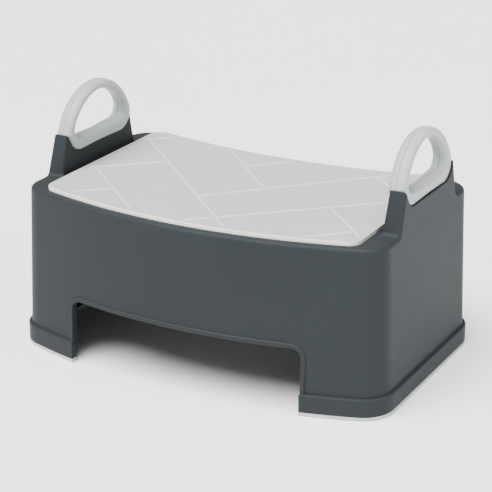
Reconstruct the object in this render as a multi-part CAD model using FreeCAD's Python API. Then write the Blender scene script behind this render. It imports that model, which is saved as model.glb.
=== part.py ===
"""Two-handled plastic step stool: hollow body, tread mat, clip-on handle grips and foot strips.

Millimetres, +Z up. X runs along the length of the stool, -Y is its front, and the origin lies on
the floor under the middle of the stool. Seen from above the stool is a crescent: the front wall
bulges forwards, the back wall is hollow in the same curve, and the two end walls are straight.
"""
import FreeCAD, Part
import math
import os

from FreeCAD import Vector

# ---- driving dimensions ----------------------------------------------------------------------
# Plan outline at the floor
HALF_LENGTH = 250.0
MID_DEPTH = 309.5            # front to back on the centre line
FRONT_RADIUS = 680.0
BACK_RADIUS = 726.0
FRONT_CORNER_RADIUS = 41.4
BACK_CORNER_RADIUS = 45.3

# Heights
FOOT_HEIGHT = 5.0            # foot strip below the body
FLANGE_TOP = 26.9
DECK_TOP = 206.9
MAT_THICKNESS = 4.9

# Body walls
FLANGE_STEP = 4.0            # how far the base flange stands out from the wall
DRAFT = 0.0328               # inward lean of every wall, per millimetre of height
WALL = 3.2
RIM_WIDTH = 9.5              # thickness of the base rim that holds the foot strip
RIM_TOP = 24.0
WALL_FOOT = 16.9             # the walls run down inside the flange to this height
DECK_THICKNESS = 3.5
DECK_EDGE_ROUND = 5.5
FLANGE_EDGE_ROUND = 1.8
FLANGE_ROUND_STEPS = 4

# Leg cut-outs in the front and back walls
CUTOUT_HALF_WIDTH = 155.5
CUTOUT_TOP = 81.9
CUTOUT_CORNER = 12.0
BEAD_WIDTH = 5.5
BEAD_PROUD = 1.8
BEAD_DEPTH = 10.0            # front of the bead to the back of its return
BEAD_CHAMFER = 0.9

# Stiffening ribs under the deck
RIB_THICKNESS = 2.2
RIB_DEPTH = 12.0
RIB_ROOT = 0.5               # how far the ribs run into the walls and the deck
RIB_SPACING = 72.0
RIB_COUNT = 5
LONG_RIB_INSETS = (95.0, 165.0)

# Tread mat
MAT_MARGIN = 9.0             # deck left bare in front of and behind the mat
MAT_HALF_LENGTH = 209.6
MAT_CORNER = 17.0
MAT_EDGE_ROUND = 0.9
PEG_DIAMETER = 8.0
PEG_LENGTH = 9.0
PEG_CLEARANCE = 0.15
PEG_X = (-132.0, 18.0, 168.0)
PEG_INSET = 52.0             # mat edge to the middle of a peg, front and back
GROOVE_WIDTH = 4.8
GROOVE_FLOOR = 3.2
GROOVE_DEPTH = 1.5
GROOVE_MARGIN = 7.0          # grooves stop this far inside the edge of the mat
# Centre lines of the herringbone grooves in plan; those that reach the margin are drawn long
GROOVES = (
    ((-192.3, -30.7), (-60.6, -155.1)),
    ((-197.2, 105.3), (60.3, -152.2)),
    ((-95.6, 132.5), (33.2, -6.0)),
    ((133.6, -29.1), (229.7, -127.9)),
    ((131.2, 105.7), (205.0, 38.0)),
    ((-232.1, -57.2), (-126.6, 34.6)),
    ((-200.0, -147.5), (-129.4, -88.1)),
    ((-27.3, -64.4), (172.5, 150.0)),
    ((-21.0, -165.5), (223.8, 61.6)),
    ((-29.9, 61.9), (41.6, 148.4)),
    ((125.1, -152.7), (190.3, -87.4)),
    ((-243.9, 59.5), (-140.1, 161.6)),
)

# Ears that carry the handles
EAR_INNER_BASE = 217.0       # inner face at deck height
EAR_INNER_TOP = 218.2        # inner face at the top of the post
EAR_POST_TOP = 256.0
EAR_TIP_TOP = 252.8          # top of the thin upstand behind the grip
EAR_FRONT_REACH = 73.9       # handle centre to the front face, at the top of the post
EAR_FRONT_SLOPE = 0.325
EAR_BACK_REACH = 73.1        # handle centre to the back face, at the same height
EAR_BACK_SLOPE = 0.19
EAR_PEAK = 12.0              # the blank ear's height above the post, before its seat is cut
EAR_INNER_ROUND = 3.5
EAR_BASE_ROUND = 6.5
EAR_FOOT_SPREAD = 25.0       # the foot of an ear ends within this distance of its top, in Y

# Handle grips, drawn in a plane that leans with the walls
HANDLE_SETBACK = 190.7       # middle of the front outline to the centre of the handle
HANDLE_FLOOR_X = 234.05      # where the mid-plane of the grip would meet the floor
GRIP_HALF_THICKNESS = 10.6
GRIP_BAR = 12.8              # width of the grip seen from the side
GRIP_ARC_RADIUS = 77.1
GRIP_ARC_Z = 233.5
GRIP_BOTTOM = 232.2
GRIP_CORNERS = (12.0, 25.0)  # front and back
POST_STEP_REACH = 72.6       # handle centre to the top of the step behind the post
POST_STEP_LENGTH = 13.6
POST_STEP_ROUNDS = (5.0, 20.0)
HOLE_BOTTOM = 247.6
HOLE_CORNERS = (13.2, 13.2)
GRIP_EDGE_ROUND = 4.6
CORE_INSET = 3.0             # skin of the grip outside the core
CORE_HALF_THICKNESS = 2.5
NECK_HALF_WIDTH = 30.0       # part of the core that joins it to the ear
NECK_HEIGHT = 12.0
CORE_CLEARANCE = 0.1
SEAM_GAP = 0.3               # dark line between the two halves of a grip
SNAP_PEG_DIAMETER = 3.4
SNAP_PEG_LENGTH = 5.0
SNAP_PEG_ANGLES = (38.0, 90.0, 142.0)

# Foot strips
STRIP_INSET = 0.3
STRIP_EDGE = 1.0
TONGUE_START = 3.2
TONGUE_WIDTH = 3.0
TONGUE_HEIGHT = 9.0
TONGUE_CLEARANCE = 0.15
TONGUE_TOP_GAP = 0.5         # the groove is this much deeper than the tongue
TONGUE_END_COVER = 6.0       # rim left solid between the tongue and the leg cut-out

UP = Vector(0, 0, 1)
OUTWARD = Vector(1, 0, 0)
FAR = 400.0                  # longer than anything that it cuts through
OVERLAP = 1.0                # how far a cutting or joining block runs past the face it meets
TOUCH = 0.05                 # closer than this counts as the same place
NEAR = 2.0                   # an edge this close to a face is taken to belong to it

# ---- plan outline ----------------------------------------------------------------------------


def wall_inset(z):
    """How far the outer wall stands in from the floor outline at height z."""
    return FLANGE_STEP + DRAFT * (z - FLANGE_TOP)


FRONT_CORNER_X = HALF_LENGTH - FRONT_CORNER_RADIUS
BACK_CORNER_X = HALF_LENGTH - BACK_CORNER_RADIUS
FRONT_CORNER_BEHIND = FRONT_RADIUS - math.sqrt(
    (FRONT_RADIUS - FRONT_CORNER_RADIUS) ** 2 - FRONT_CORNER_X ** 2)
BACK_CORNER_BEHIND = BACK_RADIUS - math.sqrt(
    (BACK_RADIUS + BACK_CORNER_RADIUS) ** 2 - BACK_CORNER_X ** 2)
FRONT_SETBACK = wall_inset(CUTOUT_TOP) - BEAD_PROUD     # the front bead is the foremost point
OVERALL_DEPTH = MID_DEPTH + BACK_CORNER_BEHIND + BACK_CORNER_RADIUS - FRONT_SETBACK
FRONT_Y = -OVERALL_DEPTH / 2 - FRONT_SETBACK
BACK_Y = FRONT_Y + MID_DEPTH
FRONT_CENTRE = Vector(0, FRONT_Y + FRONT_RADIUS, 0)
BACK_CENTRE = Vector(0, BACK_Y + BACK_RADIUS, 0)
FRONT_CORNER = Vector(FRONT_CORNER_X, FRONT_Y + FRONT_CORNER_BEHIND, 0)
BACK_CORNER = Vector(BACK_CORNER_X, BACK_Y + BACK_CORNER_BEHIND, 0)
HANDLE_Y = FRONT_Y + HANDLE_SETBACK
EAR_FRONT_TOP_Y = HANDLE_Y - EAR_FRONT_REACH
EAR_BACK_TOP_Y = HANDLE_Y + EAR_BACK_REACH


def towards(start, through, distance):
    """The point at a distance from start, in the direction of another point."""
    return start + (through - start).normalize() * distance


def mirrored_x(point):
    return Vector(-point.x, point.y, point.z)


def arc(start, middle, end):
    return Part.Arc(start, middle, end).toShape()


def line(start, end):
    return Part.LineSegment(start, end).toShape()


def outline(inset, z):
    """The crescent plan, moved inwards by inset and lifted to z, as a closed wire."""
    front_corner_radius = FRONT_CORNER_RADIUS - inset
    back_corner_radius = BACK_CORNER_RADIUS - inset
    front_tangent = towards(FRONT_CENTRE, FRONT_CORNER, FRONT_RADIUS - inset)
    back_tangent = towards(BACK_CENTRE, BACK_CORNER, BACK_RADIUS + inset)
    end_front = FRONT_CORNER + Vector(front_corner_radius, 0, 0)
    end_back = BACK_CORNER + Vector(back_corner_radius, 0, 0)
    front_bend = FRONT_CORNER + Vector(1, -1, 0).normalize() * front_corner_radius
    back_bend = BACK_CORNER + Vector(1, 1, 0).normalize() * back_corner_radius
    front_middle = Vector(0, FRONT_Y + inset, 0)
    back_middle = Vector(0, BACK_Y - inset, 0)
    edges = [
        arc(mirrored_x(front_tangent), front_middle, front_tangent),
        arc(front_tangent, front_bend, end_front),
        line(end_front, end_back),
        arc(end_back, back_bend, back_tangent),
        arc(back_tangent, back_middle, mirrored_x(back_tangent)),
        arc(mirrored_x(back_tangent), mirrored_x(back_bend), mirrored_x(end_back)),
        line(mirrored_x(end_back), mirrored_x(end_front)),
        arc(mirrored_x(end_front), mirrored_x(front_bend), mirrored_x(front_tangent)),
    ]
    wire = Part.Wire(edges)
    wire.translate(UP * z)
    return wire


def straight_block(inset, bottom, top):
    """The plan outline at one inset, drawn straight up."""
    return Part.Face(outline(inset, bottom)).extrude(UP * (top - bottom))


def drafted_block(extra_inset, bottom, top):
    """A block whose sides lean with the walls, extra_inset inside their outer face."""
    lower = outline(wall_inset(bottom) + extra_inset, bottom)
    upper = outline(wall_inset(top) + extra_inset, top)
    return Part.makeLoft([lower, upper], True, True)


# ---- outlines with rounded corners -----------------------------------------------------------
def rounded_outline(corners, radii):
    """A closed wire through the corners, each rounded to its own radius (0 keeps it sharp)."""
    count = len(corners)
    entries = []
    for index, corner in enumerate(corners):
        before = (corners[index - 1] - corner).normalize()
        after = (corners[(index + 1) % count] - corner).normalize()
        half_angle = before.getAngle(after) / 2
        reach = radii[index] / math.tan(half_angle)
        bisector = (before + after).normalize()
        middle = corner + bisector * (radii[index] / math.sin(half_angle) - radii[index])
        entries.append((corner + before * reach, middle, corner + after * reach))
    edges = []
    for index, (arrive, middle, leave) in enumerate(entries):
        if radii[index] > 0:
            edges.append(arc(arrive, middle, leave))
        edges.append(line(leave, entries[(index + 1) % count][0]))
    return Part.Wire(edges)


def prism(wire, start_x, end_x):
    """A wire drawn in the plane x = 0, made solid from start_x to end_x."""
    solid = Part.Face(wire).extrude(OUTWARD * (end_x - start_x))
    solid.translate(OUTWARD * start_x)
    return solid


def lean(shape):
    """Moves a shape drawn about the plane x = 0 to the leaning mid-plane of the right handle."""
    moved = shape.copy()
    moved.rotate(Vector(0, 0, 0), Vector(0, 1, 0), -math.degrees(math.atan(DRAFT)))
    moved.translate(OUTWARD * HANDLE_FLOOR_X)
    return moved


def left_copy(shape):
    return shape.mirror(Vector(0, 0, 0), OUTWARD)


def on_both_sides(shape):
    return [shape, left_copy(shape)]


# ---- handle outlines -------------------------------------------------------------------------
def d_corner(side, radius, corner_radius, bottom):
    """Tangent point on the big arc, middle and foot of one bottom corner of a D."""
    centre = Vector(0, HANDLE_Y, GRIP_ARC_Z)
    height = bottom + corner_radius
    reach = math.sqrt((radius - corner_radius) ** 2 - (height - GRIP_ARC_Z) ** 2)
    corner = Vector(0, HANDLE_Y + side * reach, height)
    middle = corner + Vector(0, side, -1).normalize() * corner_radius
    return towards(centre, corner, radius), middle, corner - UP * corner_radius


def rounded_d(radius, corner_radii, bottom):
    """A D lying on its flat side: one big arc, a straight bottom and two rounded corners."""
    top = Vector(0, HANDLE_Y, GRIP_ARC_Z + radius)
    front_tangent, front_bend, front_foot = d_corner(-1, radius, corner_radii[0], bottom)
    back_tangent, back_bend, back_foot = d_corner(1, radius, corner_radii[1], bottom)
    return Part.Wire([
        arc(front_tangent, top, back_tangent),
        arc(back_tangent, back_bend, back_foot),
        line(back_foot, front_foot),
        arc(front_foot, front_bend, front_tangent),
    ])


def grip_outer_wire(shrink):
    corners = [radius - shrink for radius in GRIP_CORNERS]
    return rounded_d(GRIP_ARC_RADIUS - shrink, corners, GRIP_BOTTOM + shrink)


def hand_hole_wire(grow):
    corners = [radius + grow for radius in HOLE_CORNERS]
    return rounded_d(GRIP_ARC_RADIUS - GRIP_BAR + grow, corners, HOLE_BOTTOM - grow)


def post_corner():
    """The front corner that the ear's post fills instead of the grip, with an S-shaped step."""
    step_start = HANDLE_Y - POST_STEP_REACH
    step_end = step_start + POST_STEP_LENGTH
    front = HANDLE_Y - FAR
    back = HANDLE_Y
    corners = [
        Vector(0, front, DECK_TOP),
        Vector(0, front, EAR_POST_TOP),
        Vector(0, step_start, EAR_POST_TOP),
        Vector(0, step_end, GRIP_BOTTOM),
        Vector(0, back, GRIP_BOTTOM),
        Vector(0, back, DECK_TOP),
    ]
    radii = [0, 0, POST_STEP_ROUNDS[0], POST_STEP_ROUNDS[1], 0, 0]
    return prism(rounded_outline(corners, radii), -FAR / 2, FAR / 2)


# ---- body ------------------------------------------------------------------------------------
def ear_inner_x(z):
    """Inner face of the right ear at height z."""
    lean_out = (EAR_INNER_TOP - EAR_INNER_BASE) / (EAR_POST_TOP - DECK_TOP)
    return EAR_INNER_BASE + lean_out * (z - DECK_TOP)


def ear_block():
    """Right-hand ear before its top is shaped, with its outer face in the plane of the end wall."""
    foot_z = DECK_TOP - DECK_THICKNESS
    peak_z = EAR_POST_TOP + EAR_PEAK
    rise = EAR_POST_TOP - foot_z
    side_view = Part.makePolygon([
        Vector(0, EAR_FRONT_TOP_Y - EAR_FRONT_SLOPE * rise, foot_z),
        Vector(0, EAR_BACK_TOP_Y + EAR_BACK_SLOPE * rise, foot_z),
        Vector(0, EAR_BACK_TOP_Y - EAR_BACK_SLOPE * EAR_PEAK, peak_z),
        Vector(0, EAR_FRONT_TOP_Y + EAR_FRONT_SLOPE * EAR_PEAK, peak_z),
        Vector(0, EAR_FRONT_TOP_Y - EAR_FRONT_SLOPE * rise, foot_z),
    ])
    end_view = Part.makePolygon([
        Vector(ear_inner_x(foot_z), -FAR, foot_z),
        Vector(HALF_LENGTH - wall_inset(foot_z), -FAR, foot_z),
        Vector(HALF_LENGTH - wall_inset(peak_z), -FAR, peak_z),
        Vector(ear_inner_x(peak_z), -FAR, peak_z),
        Vector(ear_inner_x(foot_z), -FAR, foot_z),
    ])
    lengthways = Part.Face(end_view).extrude(Vector(0, 2 * FAR, 0))
    return prism(side_view, 0, FAR).common(lengthways)


def edge_middle(edge):
    return edge.valueAt((edge.FirstParameter + edge.LastParameter) / 2)


def is_ear_inner_edge(edge):
    """An upright edge between the inner face of an ear and its front or back face."""
    middle = edge_middle(edge)
    upright = edge.BoundBox.ZLength > (EAR_POST_TOP - DECK_TOP) / 2
    return upright and abs(abs(middle.x) - ear_inner_x(middle.z)) < NEAR


def is_ear_base_edge(edge):
    """An edge where an ear stands on the deck, away from the outer wall."""
    middle = edge_middle(edge)
    flat = edge.BoundBox.ZLength < TOUCH
    on_deck = abs(middle.z - DECK_TOP) < TOUCH
    off_wall = abs(middle.x) < HALF_LENGTH - wall_inset(DECK_TOP) - NEAR
    beside_ear = abs(middle.x) > EAR_INNER_BASE - NEAR
    behind_front = middle.y > EAR_FRONT_TOP_Y - EAR_FOOT_SPREAD
    before_back = middle.y < EAR_BACK_TOP_Y + EAR_FOOT_SPREAD
    return flat and on_deck and off_wall and beside_ear and behind_front and before_back


def is_outer_top_edge(edge):
    """An edge of the outline that the deck and both ears share with the outer walls."""
    box = edge.BoundBox
    middle = edge_middle(edge)
    above_walls = DECK_TOP - TOUCH < box.ZMin < EAR_POST_TOP and middle.z > DECK_TOP - TOUCH
    on_end_wall = abs(middle.x) > HALF_LENGTH - wall_inset(middle.z) - TOUCH
    on_front_or_back = abs(middle.x) < NEAR
    on_corner = abs(middle.x) > EAR_INNER_BASE + DECK_EDGE_ROUND and box.ZLength < TOUCH
    return above_walls and (on_end_wall or on_front_or_back or on_corner)


def rounded_where(shape, test, radius):
    return shape.makeFillet(radius, [edge for edge in shape.Edges if test(edge)])


def ear_gap():
    """Space beside the mat that keeps the foot of the right ear's inner face free of rounding."""
    foot_rise = EAR_POST_TOP - DECK_TOP
    front = EAR_FRONT_TOP_Y - EAR_FRONT_SLOPE * foot_rise + EAR_INNER_ROUND
    back = EAR_BACK_TOP_Y + EAR_BACK_SLOPE * foot_rise - EAR_INNER_ROUND
    top = DECK_TOP + 2 * EAR_BASE_ROUND
    start_x = EAR_INNER_BASE - 2 * EAR_BASE_ROUND
    end_view = Part.makePolygon([
        Vector(start_x, front, DECK_TOP),
        Vector(ear_inner_x(DECK_TOP), front, DECK_TOP),
        Vector(ear_inner_x(top), front, top),
        Vector(start_x, front, top),
        Vector(start_x, front, DECK_TOP),
    ])
    return Part.Face(end_view).extrude(Vector(0, back - front, 0))


def upper_body():
    """Solid block of the walls and both ears, with its visible edges rounded."""
    block = drafted_block(0.0, WALL_FOOT, DECK_TOP)
    block = block.fuse(on_both_sides(ear_block())).removeSplitter()
    block = rounded_where(block, is_ear_inner_edge, EAR_INNER_ROUND)
    block = rounded_where(block, is_ear_base_edge, EAR_BASE_ROUND)
    block = rounded_where(block, is_outer_top_edge, DECK_EDGE_ROUND)
    return block.cut(on_both_sides(ear_gap()))


def base_flange():
    """The wider band round the foot of the walls, its top edge rounded in a few lofted steps."""
    round_start = FLANGE_TOP - FLANGE_EDGE_ROUND
    band = straight_block(0.0, FOOT_HEIGHT, round_start)
    levels = []
    for step in range(FLANGE_ROUND_STEPS + 1):
        turn = math.pi / 2 * step / FLANGE_ROUND_STEPS
        inset = FLANGE_EDGE_ROUND * (1 - math.cos(turn))
        levels.append(outline(inset, round_start + FLANGE_EDGE_ROUND * math.sin(turn)))
    for lower, upper in zip(levels, levels[1:]):
        band = band.fuse(Part.makeLoft([lower, upper], True, True))
    return band


def cavity():
    """The hollow inside: a straight mouth within the rim, then drafted up to the deck."""
    mouth = straight_block(RIM_WIDTH, 0.0, RIM_TOP)
    room = drafted_block(WALL, RIM_TOP, DECK_TOP - DECK_THICKNESS)
    return mouth.fuse(room)


def arch(grow):
    """The outline of a leg cut-out seen from the front, made larger by grow, cut right through."""
    half = CUTOUT_HALF_WIDTH + grow
    top = CUTOUT_TOP + grow
    corners = [Vector(0, -half, -FAR), Vector(0, half, -FAR), Vector(0, half, top),
               Vector(0, -half, top)]
    radius = CUTOUT_CORNER + grow
    solid = prism(rounded_outline(corners, [0, 0, radius, radius]), -FAR, FAR)
    solid.rotate(Vector(0, 0, 0), UP, 90)
    return solid


def is_bead_front_edge(edge):
    """A long edge of a bead's proud face."""
    middle = edge_middle(edge)
    proud_inset = wall_inset(middle.z) - BEAD_PROUD
    to_front = (FRONT_CENTRE + UP * middle.z - middle).Length
    to_back = (BACK_CENTRE + UP * middle.z - middle).Length
    on_front = abs(to_front - (FRONT_RADIUS - proud_inset)) < TOUCH
    on_back = abs(to_back - (BACK_RADIUS + proud_inset)) < TOUCH
    at_foot = edge.BoundBox.ZMax < FLANGE_TOP
    return (on_front or on_back) and not at_foot


def cutout_beads():
    """Raised beads, with their inward returns, round the front and back cut-outs."""
    bottom = FLANGE_TOP - OVERLAP
    top = CUTOUT_TOP + 2 * BEAD_WIDTH
    outside = drafted_block(-BEAD_PROUD, bottom, top)
    inside = drafted_block(BEAD_DEPTH - BEAD_PROUD, bottom, top)
    beads = outside.cut(inside).common(arch(BEAD_WIDTH).cut(arch(0.0)))
    front_edges = [edge for edge in beads.Edges if is_bead_front_edge(edge)]
    return beads.makeChamfer(BEAD_CHAMFER, front_edges)


def deck_ribs():
    """Ribs under the deck: short ones front to back, and long ones that follow the curve."""
    top = DECK_TOP - DECK_THICKNESS
    bottom = top - RIB_DEPTH
    ribs = []
    for index in range(RIB_COUNT):
        x = (index - (RIB_COUNT - 1) / 2) * RIB_SPACING
        corner = Vector(x - RIB_THICKNESS / 2, -FAR, bottom)
        ribs.append(Part.makeBox(RIB_THICKNESS, 2 * FAR, RIB_DEPTH, corner))
    for inset in LONG_RIB_INSETS:
        radius = FRONT_RADIUS - inset
        drum = Part.makeCylinder(radius, RIB_DEPTH, FRONT_CENTRE + UP * bottom)
        bore = Part.makeCylinder(radius - RIB_THICKNESS, RIB_DEPTH, FRONT_CENTRE + UP * bottom)
        ribs.append(drum.cut(bore))
    grid = ribs[0].fuse(ribs[1:])
    return grid.common(drafted_block(WALL - RIB_ROOT, bottom, top + RIB_ROOT))


def handle_seat():
    """Everything above the carved top of the right ear."""
    above = Part.makeBox(FAR, FAR, FAR, Vector(-FAR / 2, HANDLE_Y - FAR / 2, EAR_POST_TOP))
    behind = Part.makeBox(FAR, FAR, FAR, Vector(-FAR / 2, HANDLE_Y, EAR_TIP_TOP))
    grip = prism(grip_outer_wire(0.0), -FAR / 2, FAR / 2)
    return above.fuse([behind, grip.cut(post_corner())])


def core_ring(inset, half_thickness):
    """Ring inside the grip, with a neck down into the ear."""
    outer = prism(grip_outer_wire(inset), -half_thickness, half_thickness)
    hole = prism(hand_hole_wire(inset), -half_thickness, half_thickness)
    half_width = NECK_HALF_WIDTH + CORE_INSET - inset
    neck = Part.makeBox(
        2 * half_thickness, 2 * half_width, NECK_HEIGHT,
        Vector(-half_thickness, HANDLE_Y - half_width, GRIP_BOTTOM - NECK_HEIGHT / 2))
    return outer.cut(hole).fuse(neck)


def grip_core():
    """Rib on top of the right ear that the two halves of the grip close over."""
    ring = core_ring(CORE_INSET, CORE_HALF_THICKNESS)
    return lean(ring.cut(snap_pegs(PEG_CLEARANCE)))


def snap_pegs(grow):
    """Pegs through the core, drawn about the mid-plane of the grip."""
    radius = GRIP_ARC_RADIUS - GRIP_BAR / 2
    pegs = []
    for angle in SNAP_PEG_ANGLES:
        turn = math.radians(angle)
        middle = Vector(0, HANDLE_Y + radius * math.cos(turn), GRIP_ARC_Z + radius * math.sin(turn))
        start = middle - OUTWARD * (SNAP_PEG_LENGTH + grow)
        length = 2 * (SNAP_PEG_LENGTH + grow)
        pegs.append(Part.makeCylinder(SNAP_PEG_DIAMETER / 2 + grow, length, start, OUTWARD))
    return Part.makeCompound(pegs)


def right_of(x):
    """All the space near the foot of the stool to the right of x."""
    return Part.makeBox(FAR, 2 * FAR, FAR, Vector(x, -FAR, -FAR / 2))


def tongue(grow, bottom, top):
    """Tongue of the right foot strip, or its groove in the rim when grow is more than zero."""
    outer = straight_block(TONGUE_START - grow, bottom, top)
    inner = straight_block(TONGUE_START + TONGUE_WIDTH + grow, bottom - OVERLAP, top + OVERLAP)
    return outer.cut(inner).common(right_of(CUTOUT_HALF_WIDTH + TONGUE_END_COVER - grow))


def mat_peg_centres():
    """Where the mat's pegs pass through the deck, in two curved rows."""
    centres = []
    for x in PEG_X:
        front_radius = FRONT_RADIUS - wall_inset(DECK_TOP) - MAT_MARGIN - PEG_INSET
        back_radius = BACK_RADIUS + wall_inset(DECK_TOP) + MAT_MARGIN + PEG_INSET
        front = FRONT_CENTRE.y - math.sqrt(front_radius ** 2 - x ** 2)
        back = BACK_CENTRE.y - math.sqrt(back_radius ** 2 - x ** 2)
        centres.append(Vector(x, front, 0))
        centres.append(Vector(x, back, 0))
    return centres


def mat_pegs(radius, bottom, top):
    pegs = []
    for centre in mat_peg_centres():
        pegs.append(Part.makeCylinder(radius, top - bottom, centre + UP * bottom))
    return Part.makeCompound(pegs)


def body_shell():
    """The one-piece body: walls, flange, deck, ears, cut-outs, beads, ribs and handle cores."""
    body = upper_body().fuse(base_flange())
    body = body.cut(on_both_sides(lean(handle_seat())))
    body = body.cut(cavity())
    body = body.fuse(deck_ribs())
    body = body.cut(arch(0.0))
    body = body.fuse(cutout_beads())
    groove_top = FOOT_HEIGHT + TONGUE_HEIGHT + TONGUE_TOP_GAP
    body = body.cut(on_both_sides(tongue(TONGUE_CLEARANCE, 0.0, groove_top)))
    hole_radius = PEG_DIAMETER / 2 + PEG_CLEARANCE
    hole_bottom = DECK_TOP - DECK_THICKNESS - OVERLAP
    body = body.cut(mat_pegs(hole_radius, hole_bottom, DECK_TOP + OVERLAP))
    body = body.fuse(on_both_sides(grip_core()))
    return body.removeSplitter()


# ---- the other pieces ------------------------------------------------------------------------
def mat_block(shrink):
    """The mat's plan as a block of its full thickness, shrunk all round."""
    inset = wall_inset(DECK_TOP) + MAT_MARGIN + shrink
    half_length = MAT_HALF_LENGTH - shrink
    long_ends = Part.makeBox(2 * half_length, 2 * FAR, MAT_THICKNESS,
                             Vector(-half_length, -FAR, DECK_TOP))
    front = Part.makeCylinder(FRONT_RADIUS - inset, MAT_THICKNESS, FRONT_CENTRE + UP * DECK_TOP)
    back = Part.makeCylinder(BACK_RADIUS + inset, MAT_THICKNESS, BACK_CENTRE + UP * DECK_TOP)
    block = long_ends.common(front).cut(back)
    uprights = [edge for edge in block.Edges if edge.BoundBox.ZLength > MAT_THICKNESS - TOUCH]
    return block.makeFillet(MAT_CORNER - shrink, uprights)


def groove(start, end):
    """One straight groove with sloping sides, cut down from the top of the mat."""
    top = DECK_TOP + MAT_THICKNESS
    first = Vector(start[0], start[1], top)
    along = Vector(end[0], end[1], top) - first
    across = UP.cross(along).normalize()
    slope = (GROOVE_WIDTH - GROOVE_FLOOR) / 2
    wide = across * (GROOVE_WIDTH / 2 + slope)
    narrow = across * (GROOVE_FLOOR / 2)
    section = Part.makePolygon([
        first - wide + UP * GROOVE_DEPTH,
        first - narrow - UP * GROOVE_DEPTH,
        first + narrow - UP * GROOVE_DEPTH,
        first + wide + UP * GROOVE_DEPTH,
        first - wide + UP * GROOVE_DEPTH,
    ])
    return Part.Face(section).extrude(along)


def mat_grooves():
    """All the grooves, ending short of the rounded edge of the mat."""
    grooves = [groove(start, end) for start, end in GROOVES]
    network = grooves[0].fuse(grooves[1:])
    return network.common(mat_block(GROOVE_MARGIN))


def tread_mat():
    """Soft mat on the deck, with a herringbone of grooves and pegs that hold it."""
    mat = mat_block(0.0)
    top = DECK_TOP + MAT_THICKNESS
    rim = [edge for edge in mat.Edges if edge.BoundBox.ZMin > top - TOUCH]
    mat = mat.makeFillet(MAT_EDGE_ROUND, rim).cut(mat_grooves())
    return mat.fuse(mat_pegs(PEG_DIAMETER / 2, DECK_TOP - PEG_LENGTH, DECK_TOP)).removeSplitter()


def grip_half(side):
    """Half of the right grip: side 1 is the outer half, side -1 the inner half with the pegs."""
    full = prism(grip_outer_wire(0.0), -GRIP_HALF_THICKNESS, GRIP_HALF_THICKNESS)
    full = full.cut(prism(hand_hole_wire(0.0), -FAR, FAR))
    rims = [edge for edge in full.Edges if edge.BoundBox.XLength < TOUCH]
    full = full.makeFillet(GRIP_EDGE_ROUND, rims)
    start_x = SEAM_GAP / 2 if side > 0 else -FAR - SEAM_GAP / 2
    half = full.common(Part.makeBox(FAR, 2 * FAR, 2 * FAR, Vector(start_x, -FAR, 0)))
    half = half.cut(post_corner())
    half = half.cut(core_ring(CORE_INSET - CORE_CLEARANCE, CORE_HALF_THICKNESS + CORE_CLEARANCE))
    if side > 0:
        half = half.cut(snap_pegs(PEG_CLEARANCE))
    else:
        half = half.fuse(snap_pegs(0.0))
    return lean(half.removeSplitter())


def foot_strip():
    """Non-slip strip under the right end: a flat tread and a tongue pressed into the rim."""
    ring = straight_block(STRIP_INSET, 0.0, FOOT_HEIGHT)
    floor_edges = [edge for edge in ring.Edges if edge.BoundBox.ZMax < TOUCH]
    ring = ring.makeChamfer(STRIP_EDGE, floor_edges)
    ring = ring.cut(straight_block(RIM_WIDTH, -OVERLAP, FOOT_HEIGHT + OVERLAP))
    ring = ring.fuse(tongue(0.0, FOOT_HEIGHT - OVERLAP, FOOT_HEIGHT + TONGUE_HEIGHT))
    return ring.common(right_of(CUTOUT_HALF_WIDTH)).removeSplitter()


def as_solid(shape):
    """The single solid in a shape that booleans may have wrapped in a compound."""
    if len(shape.Solids) != 1:
        raise ValueError("expected one solid, found %d" % len(shape.Solids))
    return shape.Solids[0]


def build_nodes():
    """Every piece of the stool by node name."""
    outer_half = grip_half(1)
    inner_half = grip_half(-1)
    strip = foot_strip()
    return {
        "body_shell": body_shell(),
        "tread_mat": tread_mat(),
        "right_grip_outer": outer_half,
        "right_grip_inner": inner_half,
        "left_grip_outer": left_copy(outer_half),
        "left_grip_inner": left_copy(inner_half),
        "right_foot_strip": strip,
        "left_foot_strip": left_copy(strip),
    }


def export_nodes():
    os.makedirs("parts", exist_ok=True)
    for name, shape in build_nodes().items():
        solid = as_solid(shape)
        solid.exportStep("parts/%s.step" % name)
        box = solid.BoundBox
        print("%-18s valid %s  %.1f x %.1f x %.1f mm  %.1f cm3" % (
            name, solid.isValid(), box.XLength, box.YLength, box.ZLength, solid.Volume / 1000))


export_nodes()
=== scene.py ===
"""Looks for the two-handled step stool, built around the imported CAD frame. Metres, +Z up."""
import math

import bmesh
import bpy
from mathutils import Euler, Matrix, Vector


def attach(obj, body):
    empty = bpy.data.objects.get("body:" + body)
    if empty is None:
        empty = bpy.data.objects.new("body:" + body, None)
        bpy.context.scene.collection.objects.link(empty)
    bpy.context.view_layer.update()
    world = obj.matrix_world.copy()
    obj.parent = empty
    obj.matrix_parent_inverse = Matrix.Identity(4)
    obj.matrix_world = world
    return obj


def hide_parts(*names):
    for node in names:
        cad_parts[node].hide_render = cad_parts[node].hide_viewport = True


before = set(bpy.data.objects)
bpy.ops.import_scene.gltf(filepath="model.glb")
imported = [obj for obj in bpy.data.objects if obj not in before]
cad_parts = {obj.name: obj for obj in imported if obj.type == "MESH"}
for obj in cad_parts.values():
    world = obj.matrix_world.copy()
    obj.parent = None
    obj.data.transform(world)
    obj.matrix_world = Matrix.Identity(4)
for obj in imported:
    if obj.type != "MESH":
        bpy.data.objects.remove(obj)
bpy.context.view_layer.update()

# ---- the handles, drawn about the leaning mid-plane of each grip ---------------------------------
HANDLE_Y = 0.020118
ARC_Z = 0.2335
ARC_RADIUS = 0.0771            # outside of the grip
BAR = 0.0128                   # width of the grip seen from the side
HALF_THICKNESS = 0.0106
BOTTOM = 0.2322
HOLE_BOTTOM = 0.2476
HOLE_CORNER = 0.0132
BACK_CORNER = 0.025
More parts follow.
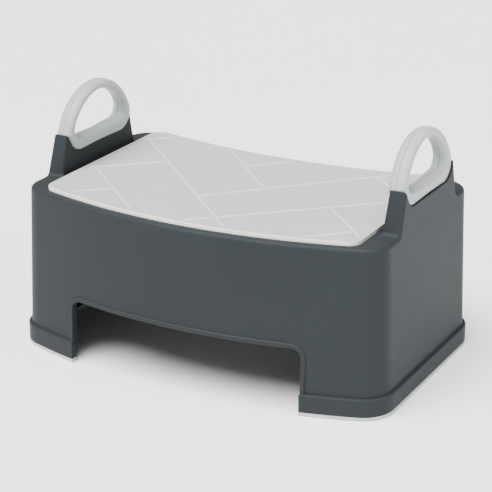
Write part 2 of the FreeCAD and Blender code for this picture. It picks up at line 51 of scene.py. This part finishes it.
FLOOR_X = 0.23405              # where the mid-plane would meet the floor
LEAN = 0.0328
POST_TOP = 0.256
STEP_REACH = 0.0726            # handle middle to the top of the step behind the post
STEP_LENGTH = 0.0136
STEP_ROUNDS = (0.005, 0.020)
SEAM_HALF_GAP = 0.00025
FREE_EDGE = 0.0064             # depth of the rounding on the free ring
SEAT_EDGE = 0.0022             # and where the grip meets the ear
FRONT_SEAT_TOP = 0.2580        # the front of the ring is free above this height
FRONT_SEAT_BLEND = 0.006
BACK_SEAT_TOP = 0.2720         # and the back of the ring above this one
BACK_SEAT_BLEND = 0.020
RING_STEPS = 220
CROSS_STEPS = 24
BIG_ARC_STEPS = 300
HOLE_ARC_STEPS = 240
CORNER_STEPS = 60
STEP_ROUND_STEPS = 24
HUB_Z = 0.2640                 # the outlines are star-shaped seen from here
BEYOND = 0.2                   # farther out than any part of a grip
PARALLEL = 1e-12               # a cross product below this means parallel lines
END_SLACK = 1e-9               # share of a segment that a hit may lie past its end
MERGE_DISTANCE = 1e-6


def arc_points(centre, radius, start, end, count):
    """Points along an arc in the (y, z) plane, both ends included."""
    turns = [start + (end - start) * i / count for i in range(count + 1)]
    return [(centre[0] + radius * math.cos(t), centre[1] + radius * math.sin(t)) for t in turns]


def corner_of_d(side, radius, corner_radius, bottom):
    """Centre of a bottom corner of a D, and the angle at which it meets the big arc."""
    height = bottom + corner_radius
    reach = math.sqrt((radius - corner_radius) ** 2 - (height - ARC_Z) ** 2)
    return (side * reach, height), math.atan2(height - ARC_Z, side * reach)


def fillet(corner, before, after, radius):
    """Points of the arc that rounds a corner on the way from one point to another."""
    c, a, b = Vector(corner), Vector(before), Vector(after)
    u, v = (a - c).normalized(), (b - c).normalized()
    half = u.angle(v) / 2
    reach = radius / math.tan(half)
    centre = c + (u + v).normalized() * (radius / math.sin(half))
    start, end = c + u * reach - centre, c + v * reach - centre
    first = math.atan2(start.y, start.x)
    turn = -start.angle_signed(end)
    return arc_points((centre.x, centre.y), radius, first, first + turn, STEP_ROUND_STEPS)


def hole_outline():
    """Inside of the grip: a smaller arc, two corners and a straight bottom."""
    radius = ARC_RADIUS - BAR
    front, front_angle = corner_of_d(-1, radius, HOLE_CORNER, HOLE_BOTTOM)
    back, back_angle = corner_of_d(1, radius, HOLE_CORNER, HOLE_BOTTOM)
    points = arc_points((0.0, ARC_Z), radius, front_angle, back_angle, HOLE_ARC_STEPS)
    points += arc_points(back, HOLE_CORNER, back_angle, -math.pi / 2, CORNER_STEPS)
    points += arc_points(front, HOLE_CORNER, -math.pi / 2, front_angle - 2 * math.pi, CORNER_STEPS)
    return points


def outer_outline():
    """Outside of the grip: the big arc, the back corner, the bottom and the step of the post."""
    start = -STEP_REACH
    end = start + STEP_LENGTH
    back, back_angle = corner_of_d(1, ARC_RADIUS, BACK_CORNER, BOTTOM)
    step = fillet((end, BOTTOM), (0.0, BOTTOM), (start, POST_TOP), STEP_ROUNDS[1])
    step += fillet((start, POST_TOP), (end, BOTTOM), (-BEYOND, POST_TOP), STEP_ROUNDS[0])
    kept = [p for p in step if math.hypot(p[0], p[1] - ARC_Z) < ARC_RADIUS]
    front_angle = math.atan2(kept[-1][1] - ARC_Z, kept[-1][0])
    points = arc_points((0.0, ARC_Z), ARC_RADIUS, front_angle, back_angle, BIG_ARC_STEPS)
    points += arc_points(back, BACK_CORNER, back_angle, -math.pi / 2, CORNER_STEPS)
    return points + kept


def ray_hit(points, angle):
    """Where a ray from the hub crosses a closed outline."""
    direction = (math.cos(angle), math.sin(angle))
    for (y0, z0), (y1, z1) in zip(points, points[1:] + points[:1]):
        z0, z1 = z0 - HUB_Z, z1 - HUB_Z
        along = (y1 - y0, z1 - z0)
        cross = direction[0] * along[1] - direction[1] * along[0]
        if abs(cross) < PARALLEL:
            continue
        distance = (y0 * along[1] - z0 * along[0]) / cross
        share = (y0 * direction[1] - z0 * direction[0]) / cross
        if distance > 0 and -END_SLACK <= share <= 1 + END_SLACK:
            return Vector((direction[0] * distance, direction[1] * distance + HUB_Z))
    raise ValueError("the ray misses the outline")


def smooth(x):
    """An even blend from 0 to 1 as x goes from 0 to 1."""
    x = min(max(x, 0.0), 1.0)
    return x * x * (3 - 2 * x)


def rounded(depth, radius):
    """Share of the full thickness at a depth inside an edge rounded like an ellipse."""
    return math.sqrt(max(0.0, 1 - (1 - min(depth / radius, 1.0)) ** 2))


def seat_share(point):
    """0 on the free ring, 1 where the grip lies in its seat on the ear."""
    if point.x < 0:
        return smooth((FRONT_SEAT_TOP - point.y) / FRONT_SEAT_BLEND)
    return smooth((BACK_SEAT_TOP - point.y) / BACK_SEAT_BLEND)


def add_mesh(name, vertices, faces):
    mesh = bpy.data.meshes.new(name)
    mesh.from_pydata(vertices, [], faces)
    mesh.validate()
    mesh.update()
    for polygon in mesh.polygons:
        polygon.use_smooth = True
    piece = bpy.data.objects.new(name, mesh)
    bpy.context.scene.collection.objects.link(piece)
    return piece


def cross_steps():
    """Shares of the way from the hole to the outside, close together near both edges."""
    return [(1 - math.cos(math.pi * i / CROSS_STEPS)) / 2 for i in range(CROSS_STEPS + 1)]


def grip_point(point, x, side, outward):
    """A point of the (y, z) plane, moved x off the leaning mid-plane of a handle."""
    place_x = FLOOR_X - LEAN * point.y + outward * x
    return (side * place_x, HANDLE_Y + point.x, point.y + outward * x * LEAN)


def grip_half(name, side, outward):
    """One half of a grip. side is +1 on the right handle; outward is +1 for the outer half."""
    hole, outer = hole_outline(), outer_outline()
    shares = cross_steps()
    vertices, faces = [], []
    for i in range(RING_STEPS):
        angle = 2 * math.pi * i / RING_STEPS
        inside, outside = ray_hit(hole, angle), ray_hit(outer, angle)
        width = (outside - inside).length
        edge = FREE_EDGE + (SEAT_EDGE - FREE_EDGE) * seat_share(outside)
        for share in shares:
            lift = rounded(share * width, FREE_EDGE) * rounded((1 - share) * width, edge)
            x = SEAM_HALF_GAP + (HALF_THICKNESS - SEAM_HALF_GAP) * lift
            vertices.append(grip_point(inside.lerp(outside, share), x, side, outward))
        for point in (outside, inside):
            vertices.append(grip_point(point, SEAM_HALF_GAP, side, outward))
    row = len(shares) + 2
    for i in range(RING_STEPS):
        j = (i + 1) % RING_STEPS
        for k in range(row):
            m = (k + 1) % row
            faces.append((i * row + k, j * row + k, j * row + m, i * row + m))
    piece = add_mesh(name, vertices, faces)
    clean = bmesh.new()
    clean.from_mesh(piece.data)
    bmesh.ops.remove_doubles(clean, verts=clean.verts, dist=MERGE_DISTANCE)
    bmesh.ops.recalc_face_normals(clean, faces=clean.faces)
    clean.to_mesh(piece.data)
    clean.free()
    return piece


# ---- materials -------------------------------------------------------------------------------
CLOUD_SCALE = 9.0              # noise scales, in cycles per metre
SPECK_SCALE = 900.0
SHEEN_SCALE = 60.0
CLOUD_SHARE = 0.6              # of the clouding, against the specks
ROUGHNESS_SPREAD = 0.015
COARSE_SCALE_SHARE = 0.3       # the coarse grain, measured against the fine one
COARSE_DEPTH_SHARE = 1.5
COARSE_STRENGTH = 0.35
FINE_STRENGTH = 0.7
FULL_EDGE_HIGHLIGHT_COSINE = 0.82             # cosine of the soft normal's turn where an edge gets the full painted highlight
NO_EDGE_HIGHLIGHT_COSINE = 0.98            # and where it gets no painted highlight
BEVEL_SAMPLES = 6
PLASTIC_IOR = 1.46
# faces that look this way are painted lighter, as painted light from the front
PAINTED_LIGHT_FACING = (0.0, -1.0, 0.0)


class Nodes:
    """Small helper that builds a procedural material."""

    def __init__(self, name):
        self.material = bpy.data.materials.new(name)
        self.material.use_nodes = True
        self.tree = self.material.node_tree
        self.shader = self.tree.nodes["Principled BSDF"]
        self.place = self.add("ShaderNodeTexCoord").outputs["Object"]

    def add(self, kind, **settings):
        node = self.tree.nodes.new(kind)
        for key, value in settings.items():
            setattr(node, key, value)
        return node

    def link(self, source, target):
        self.tree.links.new(source, target)

    def noise(self, scale, detail=4.0, roughness=0.55):
        node = self.add("ShaderNodeTexNoise")
        node.inputs["Scale"].default_value = scale
        node.inputs["Detail"].default_value = detail
        node.inputs["Roughness"].default_value = roughness
        self.link(self.place, node.inputs["Vector"])
        return node.outputs["Fac"]

    def spread(self, source, low, high, start=0.3, end=0.7):
        """Goes from low to high as the source goes from start to end."""
        node = self.add("ShaderNodeMapRange")
        node.inputs["From Min"].default_value = start
        node.inputs["From Max"].default_value = end
        node.inputs["To Min"].default_value = low
        node.inputs["To Max"].default_value = high
        self.link(source, node.inputs["Value"])
        return node.outputs["Result"]

    def maths(self, operation, first, second):
        node = self.add("ShaderNodeMath", operation=operation)
        for socket, value in zip(node.inputs, (first, second)):
            if isinstance(value, (int, float)):
                socket.default_value = value
            else:
                self.link(value, socket)
        return node.outputs["Value"]

    def tint(self, factor, low, high):
        """A blend of two plain colours."""
        node = self.add("ShaderNodeMix", data_type="RGBA")
        node.inputs["A"].default_value = (*low, 1.0)
        node.inputs["B"].default_value = (*high, 1.0)
        self.link(factor, node.inputs["Factor"])
        return node.outputs["Result"]

    def blend_colour(self, factor, first, second):
        """A blend of another node's colour with a plain one."""
        node = self.add("ShaderNodeMix", data_type="RGBA")
        self.link(factor, node.inputs["Factor"])
        self.link(first, node.inputs["A"])
        node.inputs["B"].default_value = (*second, 1.0)
        return node.outputs["Result"]

    def scale_colour(self, colour, factor):
        node = self.add("ShaderNodeVectorMath", operation="SCALE")
        self.link(colour, node.inputs[0])
        self.link(factor, node.inputs["Scale"])
        return node.outputs["Vector"]

    def softened(self, radius):
        """The surface normal with every edge rounded to a small radius."""
        node = self.add("ShaderNodeBevel", samples=BEVEL_SAMPLES)
        node.inputs["Radius"].default_value = radius
        return node.outputs["Normal"]

    def facing(self, direction, low, high):
        """high on faces that look in a direction, falling to low on those square to it."""
        node = self.add("ShaderNodeVectorMath", operation="DOT_PRODUCT")
        self.link(self.add("ShaderNodeNewGeometry").outputs["Normal"], node.inputs[0])
        node.inputs[1].default_value = direction
        return self.spread(node.outputs["Value"], low, high, 0.0, 1.0)

    def edges(self, soft_normal):
        """0 on flat faces, rising to 1 on edges."""
        node = self.add("ShaderNodeVectorMath", operation="DOT_PRODUCT")
        self.link(soft_normal, node.inputs[0])
        self.link(self.add("ShaderNodeNewGeometry").outputs["Normal"], node.inputs[1])
        return self.spread(node.outputs["Value"], 1.0, 0.0, FULL_EDGE_HIGHLIGHT_COSINE, NO_EDGE_HIGHLIGHT_COSINE)

    def bump(self, height, distance, strength, normal):
        """A surface normal made rough by the height, which is in units of the distance."""
        node = self.add("ShaderNodeBump")
        node.inputs["Distance"].default_value = distance
        node.inputs["Strength"].default_value = strength
        self.link(height, node.inputs["Height"])
        self.link(normal, node.inputs["Normal"])
        return node.outputs["Normal"]


def moulded(name, colour, vary, roughness, grain_scale, grain_depth, edge_highlight, edge_highlight_colour, gloss,
            edge_radius, painted_front_light=0.0):
    """Matte moulded plastic or rubber: faint clouding, a fine grain and a painted highlight on
    edges.

    vary is the spread of the colour; the strength and colour given for edges paint a highlight on
    them, and the front-light share paints the faces that look to the front lighter, as painted
    light from the front. Lengths are in metres, and grain_scale is in cycles per metre.
    """
    n = Nodes(name)
    cloud = n.maths("MULTIPLY", n.spread(n.noise(CLOUD_SCALE), 0.0, 1.0), CLOUD_SHARE)
    speck = n.maths("MULTIPLY", n.spread(n.noise(SPECK_SCALE, detail=2.0), 0.0, 1.0),
                    1 - CLOUD_SHARE)
    dark = [c * (1 - vary) for c in colour]
    light = [c * (1 + vary) for c in colour]
    base = n.tint(n.maths("ADD", cloud, speck), dark, light)
    soft = n.softened(edge_radius)
    # painted highlight: edges are blended towards a lighter colour
    edge_highlighted = n.blend_colour(n.maths("MULTIPLY", n.edges(soft), edge_highlight), base, edge_highlight_colour)
    # painted light: faces that look to the front are made lighter, as if lit from the front
    painted_front_lit = n.scale_colour(edge_highlighted, n.facing(PAINTED_LIGHT_FACING, 1.0, 1 + painted_front_light))
    n.link(painted_front_lit, n.shader.inputs["Base Color"])
    sheen = n.spread(n.noise(SHEEN_SCALE), roughness - ROUGHNESS_SPREAD,
                     roughness + ROUGHNESS_SPREAD)
    n.link(sheen, n.shader.inputs["Roughness"])
    coarse = n.bump(n.noise(grain_scale * COARSE_SCALE_SHARE, detail=3.0),
                    grain_depth * COARSE_DEPTH_SHARE, COARSE_STRENGTH, soft)
    fine = n.bump(n.noise(grain_scale, detail=2.0), grain_depth, FINE_STRENGTH, coarse)
    n.link(fine, n.shader.inputs["Normal"])
    n.shader.inputs["IOR"].default_value = PLASTIC_IOR
    n.shader.inputs["Specular IOR Level"].default_value = gloss
    return n.material


# The lighter edge colour of each material is a painted highlight on its edges.
BODY = moulded("body_plastic", colour=(0.0212, 0.0248, 0.0268), vary=0.05, roughness=0.52,
               grain_scale=1500.0, grain_depth=0.00006, edge_highlight=0.4,
               edge_highlight_colour=(0.042, 0.047, 0.049), gloss=0.09, edge_radius=0.0008)
GRIP = moulded("grip_plastic", colour=(0.350, 0.370, 0.380), vary=0.02, roughness=0.42,
               grain_scale=1800.0, grain_depth=0.00003, edge_highlight=0.3,
               edge_highlight_colour=(0.41, 0.425, 0.435), gloss=0.35, edge_radius=0.0004)
MAT = moulded("mat_rubber", colour=(0.395, 0.395, 0.374), vary=0.025, roughness=0.62,
              grain_scale=1300.0, grain_depth=0.00006, edge_highlight=0.7,
              edge_highlight_colour=(0.60, 0.605, 0.60), gloss=0.25, edge_radius=0.0003, painted_front_light=1.0)
STRIP = moulded("strip_rubber", colour=(0.42, 0.44, 0.445), vary=0.025, roughness=0.60,
                grain_scale=1300.0, grain_depth=0.00005, edge_highlight=0.3,
                edge_highlight_colour=(0.53, 0.55, 0.555), gloss=0.25, edge_radius=0.0006)


def dress(piece, material):
    """Gives a piece its only material."""
    piece.data.materials.clear()
    piece.data.materials.append(material)


for node, material, slot in (("body_shell", BODY, "body"), ("tread_mat", MAT, "mat"),
                             ("left_foot_strip", STRIP, "foot"),
                             ("right_foot_strip", STRIP, "foot")):
    dress(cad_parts[node], material)

for hand, side in (("right", 1), ("left", -1)):
    for half, outward in (("outer", 1), ("inner", -1)):
        node = "%s_grip_%s" % (hand, half)
        piece = grip_half(node + "_soft", side, outward)
        dress(piece, GRIP)
        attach(piece, "root")
        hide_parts(node)

# ---- camera, floor and lights ----------------------------------------------------------------
CAMERA_AZIMUTH = math.radians(28.10)
CAMERA_ELEVATION = math.radians(20.63)
CAMERA_ROLL = math.radians(0.13)
CAMERA_PLACE = Vector((0.9501, -1.7690, 0.8873))
CAMERA_LENS = 126.67
SENSOR = 36.0
FLOOR_HALF = 12.0
FLOOR_ROUGHNESS = 0.85
FLOOR_CLOUD_SCALE = 1.5
FLOOR_DARK = (0.92, 0.92, 0.92)
FLOOR_LIGHT = (0.94, 0.94, 0.94)
WORLD_STRENGTH = 0.5
FLOOR_MIDDLE = (0.0, 0.0, 0.0)
STOOL_MIDDLE = (0.0, 0.0, 0.12)
KEY_PLACE = (-0.35, -1.05, 2.4)
KEY_STRENGTH = 9.4
KEY_SPREAD = math.radians(50.0)
RIGHT_PLACE = (2.2, -0.3, 1.4)
RIGHT_POWER = 27.0
RIGHT_SIZE = 1.2


def add_camera():
    data = bpy.data.cameras.new("camera")
    data.lens = CAMERA_LENS
    data.sensor_width = SENSOR
    camera = bpy.data.objects.new("camera", data)
    level = Euler((math.pi / 2 - CAMERA_ELEVATION, 0.0, CAMERA_AZIMUTH)).to_matrix()
    rolled = level @ Matrix.Rotation(CAMERA_ROLL, 3, "Z")
    camera.matrix_world = Matrix.Translation(CAMERA_PLACE) @ rolled.to_4x4()
    bpy.context.scene.collection.objects.link(camera)
    bpy.context.scene.camera = camera


def add_floor():
    quarters = ((-1, -1), (1, -1), (1, 1), (-1, 1))
    corners = [(x * FLOOR_HALF, y * FLOOR_HALF, 0.0) for x, y in quarters]
    floor = add_mesh("floor", corners, [(0, 1, 2, 3)])
    n = Nodes("floor_white")
    base = n.tint(n.spread(n.noise(FLOOR_CLOUD_SCALE), 0.0, 1.0), FLOOR_DARK, FLOOR_LIGHT)
    n.link(base, n.shader.inputs["Base Color"])
    n.shader.inputs["Roughness"].default_value = FLOOR_ROUGHNESS
    floor.data.materials.append(n.material)


def add_light(name, kind, place, target, power):
    """A light at place that shines towards target; returns its settings."""
    data = bpy.data.lights.new(name, kind)
    data.energy = power
    light = bpy.data.objects.new(name, data)
    light.location = place
    aim = Vector(target) - Vector(place)
    light.rotation_euler = aim.to_track_quat("-Z", "Y").to_euler()
    bpy.context.scene.collection.objects.link(light)
    return data


def add_lights():
    """A white world, a very wide soft key light above the front, and a disk at the right."""
    world = bpy.data.worlds.new("studio")
    world.use_nodes = True
    background = world.node_tree.nodes["Background"]
    background.inputs["Color"].default_value = (1.0, 1.0, 1.0, 1.0)
    background.inputs["Strength"].default_value = WORLD_STRENGTH
    bpy.context.scene.world = world
    key = add_light("key", "SUN", KEY_PLACE, FLOOR_MIDDLE, KEY_STRENGTH)
    key.angle = KEY_SPREAD
    right = add_light("right", "AREA", RIGHT_PLACE, STOOL_MIDDLE, RIGHT_POWER)
    right.shape = "DISK"
    right.size = RIGHT_SIZE


add_camera()
add_floor()
add_lights()
